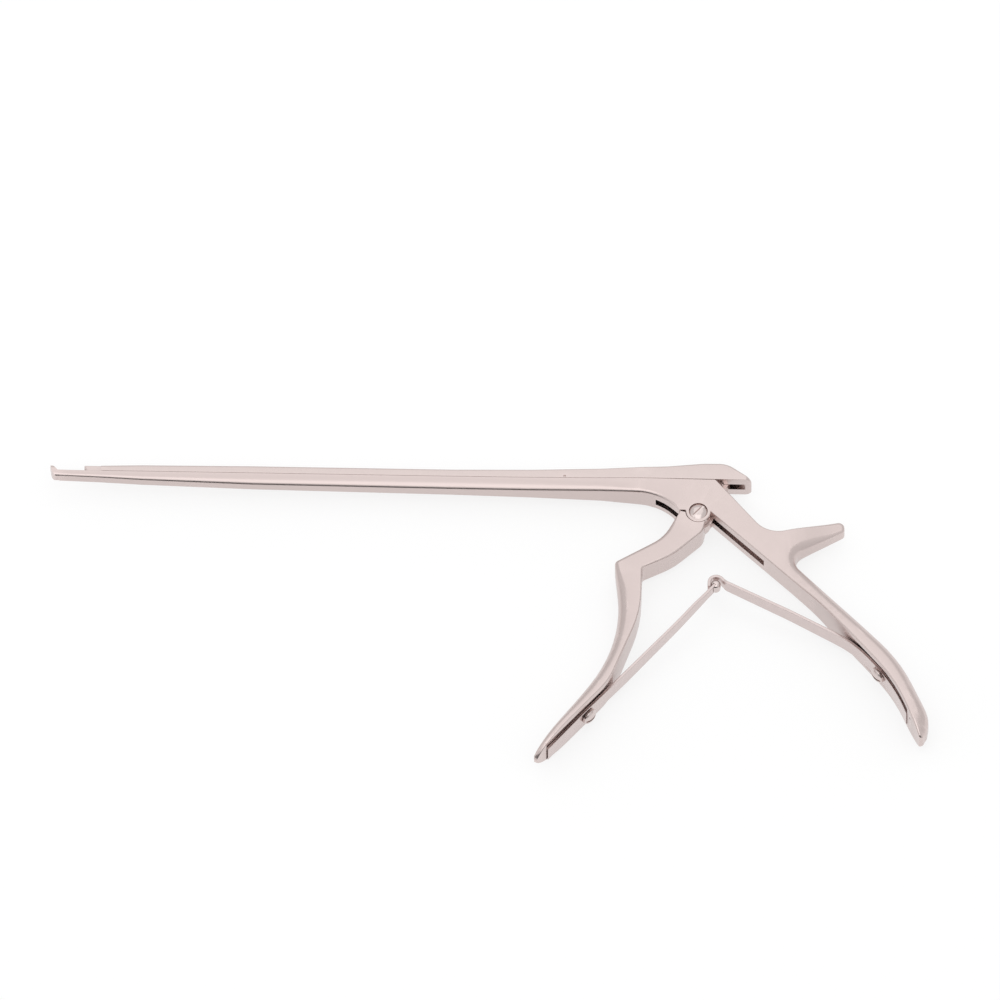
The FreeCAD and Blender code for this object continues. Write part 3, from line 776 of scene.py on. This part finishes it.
fingerGrip = {   # the movable handle, with its hub inside the body's slot and the forked lever
    "turn": 67.5, "narrow": 4.5, "wide": 6.5, "start": 33.0, "full": 68.0, "round": 92.0, "end": 105.1,
    "cuts": {"first": 34, "count": 40, "endTurns": (20, 74, 4)}, "taper": (90.0, 0.04),
    "neck": [(-5.7, 0.1, 0.3, 0.25), (-11.3, -9.7, 14, 1.7), (-26.3, -19.4, 1.6, 1.4)],
    "front": [(-22.9, -49.8, 53, 3.4), (-49.7, -90.8, 6, 1.2)],
    "tip": [(-50.45, -92.35, 0.6, 0.5), (-49.45, -93.2, 0.5, 0.4)],
    "back": [
        (-26.8, -65.6, 25, 0.5), (-17.45, -38.4, 45, 0.5), (-17.45, -21.6, 1.5, 0.6),
        (-7.6, -16.5, 25, 0.7), (1.65, -7.25, 5, 0.5), (2.6, -2.0, 0, 0.25),
    ],
    "seat": [(-46.8, -89.15, 0), (-24.5, -61.1, 0), (-20.0, -66.0, 0), (-42.0, -93.0, 0)],
    "groove": [(-45.6, -87.5, 0), (-39.2, -76.4, 30), (-26.6, -63.9, 0.3), (-30.0, -72.0, 0)],
    "screw": (-33.42, -74.25, -1.5), "screwTurn": -38.5,
    "hub": 4.9, "tongue": 1.4, "earRoom": 4.15, "sides": 96,
    "lever": {"turn": 61.5, "reach": 16.5, "root": 11.9, "fork": 1.25, "prong": 1.2},
}


def makeFingerHandle():
    f, past = fingerGrip, plates["past"]
    bm = plate(f["neck"] + f["front"] + f["tip"] + f["back"], plates["half"])
    u = -level(f["turn"])

    def width(s):
        start, slope = f["taper"]
        return max(0.2, gripWidth(f, s) - max(0.0, s - start) * slope)

    slices(bm, u, gripStops(f))
    widened(bm, u, plates["half"], width)
    handle = toObject(bm, "fingerHandle")
    t = f["tongue"]
    combine(handle, tube(0, 0, f["earRoom"], t, past, f["sides"]))
    combine(handle, tube(0, 0, f["earRoom"], -past, -t, f["sides"]))
    combine(handle, tube(0, 0, f["hub"], -t, t, f["sides"]), "UNION")
    lever = f["lever"]
    half, reach, root = lever["fork"], lever["reach"], lever["root"]
    wing = half + lever["prong"]
    rows = [     # distance from the pivot, distance from the lever's middle line, corner radius
        (0, -wing, 0), (reach, -wing, 0.55), (reach, -half, 0.3), (root, -half, 1.1),
        (root, half, 1.1), (reach, half, 0.3), (reach, wing, 0.85), (0, wing, 0),
    ]
    cos, sin = math.cos(math.radians(lever["turn"])), math.sin(math.radians(lever["turn"]))
    fork = [(cos * out + sin * off, sin * out - cos * off, r) for out, off, r in rows]
    combine(handle, prism(fork, -t, t), "UNION")
    combine(handle, tube(0, 0, axle["hole"], -past, past))
    springSeat(handle, f)
    finishPiece(handle, "fingerHandle", "front_handle", ["front_handle"], "satinSteel")


upperShaft = {
    "end": 16.7, "endRadius": 2.2, "endTurns": (0, 12, 24, 36, 48, 60, 70, 80),
    "hump": [(16.7, 12.6, 0.35, 0.3), (8.95, 18.4, 8.0, 0.9), (1.0, 18.25, 20, 0.9), (-10.0, 16.95, 20, 0.8)],
    "drive": [(3.0, 11.5, 0), (14.75, 11.5, 0), (14.75, 12.4, 0), (9.0, 17.06, 0.4), (3.0, 17.06, 0.4)],
    "pin": (7.5, 13.8, 1.02, -6.0, 3.1), "mark": (-43.1, 12.7, 0.42, 3.25, 5.0),     # x, y, radius, low, high
}


def makeUpperShaft():
    f, railY, half, edge = upperShaft, plates["railY"] + plates["railGap"], plates["half"], plates["railEdge"]
    last, r = stations[-1], f["endRadius"]
    x0 = last["x"] - plates["overlap"]
    rear = [(x0, railY, 0, edge), (f["end"], railY, 0, edge)] + f["hump"]
    bm = plate(rear + [(x0, railY + last["high"] - 0.13, 0, 0.5)], half)
    squared(bm, last["x"])
    roundX = f["end"] - r
    slices(bm, (1, 0, 0), [roundX + r * math.sin(math.radians(a)) for a in f["endTurns"]])

    def width(x):
        past = max(0.0, x - roundX)
        return half - (r - math.sqrt(max(0.0, r * r - min(past, r) ** 2)))

    widened(bm, (1, 0, 0), half, width)
    shaft = toObject(bm, "upperShaft")

    def ring(s, shy):
        return section(railY + shy, railY + s["high"] - shy, s["width"] / 2 - shy, edge, s["highRound"])

    combine(shaft, shaftBar(stations[1:], ring), "UNION")
    faceX, top, root = jaw["footX"] + jaw["gap"], jaw["cutterTop"], jaw["cutterRoot"]
    topX = faceX - jaw["lean"] * (top - railY)
    cutter = [
        (root, top + 0.1, 0, 0.45), (topX, top, 0.34, 0.3), (faceX, railY, 0.15, 0.12), (root, railY, 0, 0.1),
    ]
    combine(shaft, plate(cutter, jaw["cutterHalf"]), "UNION")
    combine(shaft, along(jaw["cup"], *(topX + x for x in jaw["cutterCup"])))
    for keyX in keys["places"]:
        start, end = (keyX + x for x in keys["run"])
        combine(shaft, along(oblong(railY, *keys["neck"]), start, end), "UNION")
        combine(shaft, along(oblong(railY, *keys["foot"]), start + 0.01, end - 0.01), "UNION")
    combine(shaft, prism(f["drive"], -plates["slot"] / 2, plates["slot"] / 2))
    combine(shaft, tube(*f["pin"]))
    combine(shaft, tube(*f["mark"], 24))
    finishPiece(shaft, "upperShaft", "slider", ["slider"], "shaftSteel", bevel=0.05)


# Leaf springs and screws are grown from a line by a tree
def endTree(tree, shape, given, out):
    # ends a tree in plain geometry with its material
    real = newNode(tree, "GeometryNodeRealizeInstances", {"Geometry": shape})
    ins = {"Geometry": real.outputs["Geometry"], "Material": given["Material"]}
    feed(tree, out, {"Geometry": newNode(tree, "GeometryNodeSetMaterial", ins).outputs["Geometry"]})
    return tree


def leafTree():
    # sweeps a strip along the leaf's own line, and draws its width in towards the tip and its foot down
    tree, given, out = newGroup(
        "Geometry", "leafStrip",
        [
            ("Geometry", "Geometry"), ("Thickness", "Float", 1.0), ("Foot Width", "Float", 7.0),
            ("Neck Width", "Float", 5.0), ("Tip Width", "Float", 4.0), ("Tip Length", "Float", 10.0),
            ("Neck Length", "Float", 12.0), ("Taper Length", "Float", 49.0), ("Edge Round", "Float", 0.2),
            ("Step", "Float", 0.6), ("Foot Drop", "Float", 1.45), ("Material", "Material"),
        ],
        [("Geometry", "Geometry")],
    )

    def less(a, b):
        return mathNode(tree, "SUBTRACT", a, b)

    def share(low, high):    # 0 to 1 between two lengths from the tip
        return mathNode(tree, "DIVIDE", less(run, given[low]), less(given[high], given[low]), True)

    ins = {"Curve": given["Geometry"], "Length": given["Step"]}
    even = newNode(tree, "GeometryNodeResampleCurve", ins, mode="LENGTH")
    upright = newNode(tree, "GeometryNodeSetCurveNormal", {"Curve": even.outputs["Curve"]}, mode="Z_UP")
    length = newNode(tree, "GeometryNodeSplineParameter").outputs["Length"]
    ins = {"Geometry": upright.outputs["Curve"], "Name": "run", "Value": length}
    keep = newNode(tree, "GeometryNodeStoreNamedAttribute", ins, data_type="FLOAT", domain="POINT")
    ins = {"Width": given["Thickness"], "Height": given["Foot Width"]}
    strip = newNode(tree, "GeometryNodeCurvePrimitiveQuadrilateral", ins, mode="RECTANGLE")
    ins = {"Curve": strip.outputs["Curve"], "Count": 4, "Radius": given["Edge Round"]}
    soft = newNode(tree, "GeometryNodeFilletCurve", ins, mode="POLY")
    ins = {"Curve": keep.outputs["Geometry"], "Profile Curve": soft.outputs["Curve"], "Fill Caps": True}
    sweep = newNode(tree, "GeometryNodeCurveToMesh", ins)
    stored = newNode(tree, "GeometryNodeInputNamedAttribute", {"Name": "run"}, data_type="FLOAT")
    run = stored.outputs["Attribute"]
    toNeck, toFoot = share("Tip Length", "Neck Length"), share("Neck Length", "Taper Length")
    neckGain = mathNode(tree, "MULTIPLY", toNeck, less(given["Neck Width"], given["Tip Width"]))
    footGain = mathNode(tree, "MULTIPLY", toFoot, less(given["Foot Width"], given["Neck Width"]))
    width = mathNode(tree, "ADD", mathNode(tree, "ADD", given["Tip Width"], neckGain), footGain)
    ins = {"X": 1.0, "Y": 1.0, "Z": mathNode(tree, "DIVIDE", width, given["Foot Width"])}
    scale = newNode(tree, "ShaderNodeCombineXYZ", ins)
    spot = newNode(tree, "GeometryNodeInputPosition").outputs["Position"]
    drawn = newNode(tree, "ShaderNodeVectorMath", {0: spot, 1: scale.outputs["Vector"]}, operation="MULTIPLY")
    down = mathNode(tree, "MULTIPLY", mathNode(tree, "MULTIPLY", toFoot, given["Foot Drop"]), -1.0)
    drop = newNode(tree, "ShaderNodeCombineXYZ", {"Z": down})
    ins = {
        "Geometry": sweep.outputs["Mesh"], "Position": drawn.outputs["Vector"],
        "Offset": drop.outputs["Vector"],
    }
    move = newNode(tree, "GeometryNodeSetPosition", ins)
    return endTree(tree, move.outputs["Geometry"], given, out)


def lineObject(name, points):
    curve = bpy.data.curves.new(name, "CURVE")
    curve.dimensions = "3D"
    spline = curve.splines.new("POLY")
    spline.points.add(len(points) - 1)
    for slot, p in zip(spline.points, points):
        slot.co = (p[0], p[1], 0, 1)
    obj = bpy.data.objects.new(name, curve)
    bpy.context.collection.objects.link(obj)
    return obj


def grown(obj, tree, values, name):
    # runs a tree on an object and gives back its result as a plain mesh object
    step = obj.modifiers.new("grow", "NODES")
    step.node_group = tree
    for item in tree.interface.items_tree:
        if item.item_type == "SOCKET" and item.in_out == "INPUT" and item.name in values:
            step[item.identifier] = values[item.name]
    mesh = plainMesh(obj)
    bpy.data.objects.remove(obj)
    bm = bmesh.new()
    bm.from_mesh(mesh)
    bpy.data.meshes.remove(mesh)
    return toObject(bm, name)


def openLine(corners):
    # the points of an open line with rounded corners: (x, y, corner radius). It is rounded as an outline that
    # is closed through one far point, and then opened there.
    far = Vector((200.0, 300.0))
    closed = rounded([(*c, 0) for c in corners] + [(far.x, far.y, 0, 0)], turnStep=7, run=1e9)
    points = [point[0] for point in closed]
    start = min(range(len(points)), key=lambda k: (points[k] - Vector(corners[0][:2])).length)
    points = points[start:] + points[:start]
    if (points[1] - far).length < 1:
        points = [points[0]] + points[:0:-1]
    return [p for p in points if (p - far).length > 1]


leaves = {
    "rearLeaf": {
        "line": [
            (4.1, -26.5, 0), (4.1, -22.75, 2.15), (7.35, -22.75, 2.1), (9.6, -25.15, 1.2),
            (30.2, -35.3, 100), (51.08, -46.45, 40), (64.5, -62.14, 60.5), (68.75, -72.9, 0),
        ],
        "sizes": {
            "Thickness": 0.96, "Foot Width": 6.0, "Neck Width": 4.8, "Tip Width": 4.0,
            "Tip Length": 8.2, "Neck Length": 9.2, "Taper Length": 49.0,
        },
        "hole": 1.6, "screw": grip["screw"], "screwTurn": grip["screwTurn"],
        "node": "rear_leaf_spring", "bodies": ("frame", "rear_leaf"), "joint": "rear_leaf_flex",
    },
    "frontLeaf": {
        "line": [(5.95, -25.75, 0), (-5.85, -40.62, 79.5), (-35.6, -75.87, 99.5), (-46.2, -89.2, 0)],
        "sizes": {
            "Thickness": 0.94, "Foot Width": 6.0, "Neck Width": 4.6, "Tip Width": 3.6,
            "Tip Length": 4.4, "Neck Length": 10.0, "Taper Length": 44.0,
        },
        "hole": 1.6, "screw": fingerGrip["screw"], "screwTurn": fingerGrip["screwTurn"],
        "node": "front_leaf_spring", "bodies": ("front_handle", "front_leaf"), "joint": "front_leaf_flex",
    },
}


def makeLeaf(name, tree):
    leaf = leaves[name]
    sizes = {**leaf["sizes"], "Material": finish["springSteel"]}
    strip = grown(lineObject(name + "Line", openLine(leaf["line"])), tree, sizes, name)
    hole = tube(0, 0, leaf["hole"], -3.0, 2.0, 32)
    combine(strip, turned(hole, leaf["screw"], level(leaf["screwTurn"])))
    strip = finishPiece(strip, name, None, [leaf["node"]], "springSteel", bevel=0)
    a, b = leaf["bodies"]
    bend = jointPlace(leaf["joint"])
    foot = place(*leaf["screw"][:2], 0)
    tip = place(*leaf["line"][0][:2], 0)
    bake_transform(strip)


bead = {
    "spot": (6.2, -25.55), "radius": 1.6, "half": 2.0, "round": 1.1, "step": 8,
    "notch": ((-6.22, -40.3), (5.58, -25.43)), "notchStart": 8, "notchSides": (-0.03, 1.03),
}


def makeBead():
    angles = [math.radians(a) for a in range(0, 360, bead["step"])]
    ring = circle(*bead["spot"], bead["radius"], angles, 0, bead["round"])
    ball = toObject(plate(ring, bead["half"]), "springBead")
    # the notch takes the front leaf's end, from one side of the strip to the other
    a, b = (Vector(end) for end in bead["notch"])
    run = (b - a).normalized()
    across = Vector((run.y, -run.x))
    low, high = bead["notchSides"]
    start = a + run * bead["notchStart"]
    notch = [start + across * low, b + across * low, b + across * high, start + across * high]
    combine(ball, prism([(q.x, q.y, 0) for q in notch], -plates["past"], plates["past"]))
    finishPiece(ball, "springBead", "front_leaf", ["spring_roller"], "turnedSteel", bevel=0)


def screwTree():
    # turns a profile about z and cuts the slot
    tree, given, out = newGroup(
        "Geometry", "slottedScrew",
        [
            ("Geometry", "Geometry"), ("Sides", "Int", 64), ("Slot Width", "Float", 0.8),
            ("Slot Depth", "Float", 0.6), ("Head Height", "Float", 1.4), ("Slot Turn", "Float", 0.0),
            ("Material", "Material"),
        ],
        [("Geometry", "Geometry")],
    )
    ins = {"Radius": 0.001, "Resolution": given["Sides"]}
    axis = newNode(tree, "GeometryNodeCurvePrimitiveCircle", ins, mode="RADIUS")
    ins = {"Curve": axis.outputs["Curve"], "Profile Curve": given["Geometry"]}
    sweep = newNode(tree, "GeometryNodeCurveToMesh", ins)
    ins = {"Geometry": sweep.outputs["Mesh"], "Distance": merge["cuts"]}
    weld = newNode(tree, "GeometryNodeMergeByDistance", ins)
    depth = mathNode(tree, "MULTIPLY", given["Slot Depth"], 2.0)
    size = newNode(tree, "ShaderNodeCombineXYZ", {"X": 20.0, "Y": given["Slot Width"], "Z": depth})
    bit = newNode(tree, "GeometryNodeMeshCube", {"Size": size.outputs["Vector"]})
    lift = newNode(tree, "ShaderNodeCombineXYZ", {"Z": given["Head Height"]})
    spin = newNode(tree, "ShaderNodeCombineXYZ", {"Z": given["Slot Turn"]})
    ins = {
        "Geometry": bit.outputs["Mesh"], "Translation": lift.outputs["Vector"],
        "Rotation": spin.outputs["Vector"],
    }
    lay = newNode(tree, "GeometryNodeTransform", ins)
    cut = newNode(tree, "GeometryNodeMeshBoolean", operation="DIFFERENCE", solver="EXACT")
    feed(tree, cut, {"Mesh 1": weld.outputs["Geometry"], "Mesh 2": lay.outputs["Geometry"]})
    return endTree(tree, cut.outputs["Mesh"], given, out)


leafScrew = {"head": 2.75, "height": 2.0, "shank": 1.5, "length": 4.6, "slot": 0.75, "depth": 0.8, "turn": 0.0}
screws = {       # facing is the level direction of the head, in degrees, or None for a head that looks up
    "pivotScrew": {
        "node": "pivot_screw", "body": "frame", "head": 2.95, "height": 1.5, "shank": 2.0, "length": 7.55,
        "slot": 0.85, "depth": 0.6, "turn": 49.0,
        "spot": (0, 0, plates["half"] - axle["seatDepth"]), "facing": None,
    },
    "rearLeafScrew": {
        **leafScrew, "node": "rear_spring_screw", "body": "frame",
        "spot": grip["screw"], "facing": grip["screwTurn"],
    },
    "frontLeafScrew": {
        **leafScrew, "node": "front_spring_screw", "body": "front_handle",
        "spot": fingerGrip["screw"], "facing": fingerGrip["screwTurn"],
    },
}
screwEdges = {"shank": 0.3, "head": 0.12}


def makeScrew(name, tree):
    f = screws[name]
    head, height, shank, length = f["head"], f["height"], f["shank"], f["length"]
    point, rim = screwEdges["shank"], screwEdges["head"]
    profile = [
        (0, -length, 0), (shank - point, -length, 0), (shank, point - length, 0), (shank, 0, 0),
        (head - rim, 0, 0), (head, rim, 0), (head, height * 0.45, 0.3), (head * 0.6, height * 0.97, 3.2),
        (0, height, 0),
    ]
    points = [Vector((p.x, -p.y)) for p in openLine(profile)][::-1]
    values = {
        "Slot Width": f["slot"], "Slot Depth": f["depth"], "Head Height": height,
        "Slot Turn": math.radians(f["turn"]), "Material": finish["turnedSteel"],
    }
    screw = grown(lineObject(name + "Profile", points), tree, values, name)
    if f["facing"] is not None:
        screw.data.transform(facing(level(f["facing"])))
    screw.data.transform(Matrix.Translation(f["spot"]))
    finishPiece(screw, name, f["body"], [f["node"]], "turnedSteel", bevel=0.06, limit=50)


makeFrameBody()
makeFingerHandle()
makeUpperShaft()
stripTree = leafTree()
for name in leaves:
    makeLeaf(name, stripTree)
makeBead()
turnTree = screwTree()
for name in screws:
    makeScrew(name, turnTree)

pinNode = frame["nodes"]["drive_pin"]
for slot in pinNode.material_slots:
    slot.material = finish["turnedSteel"]
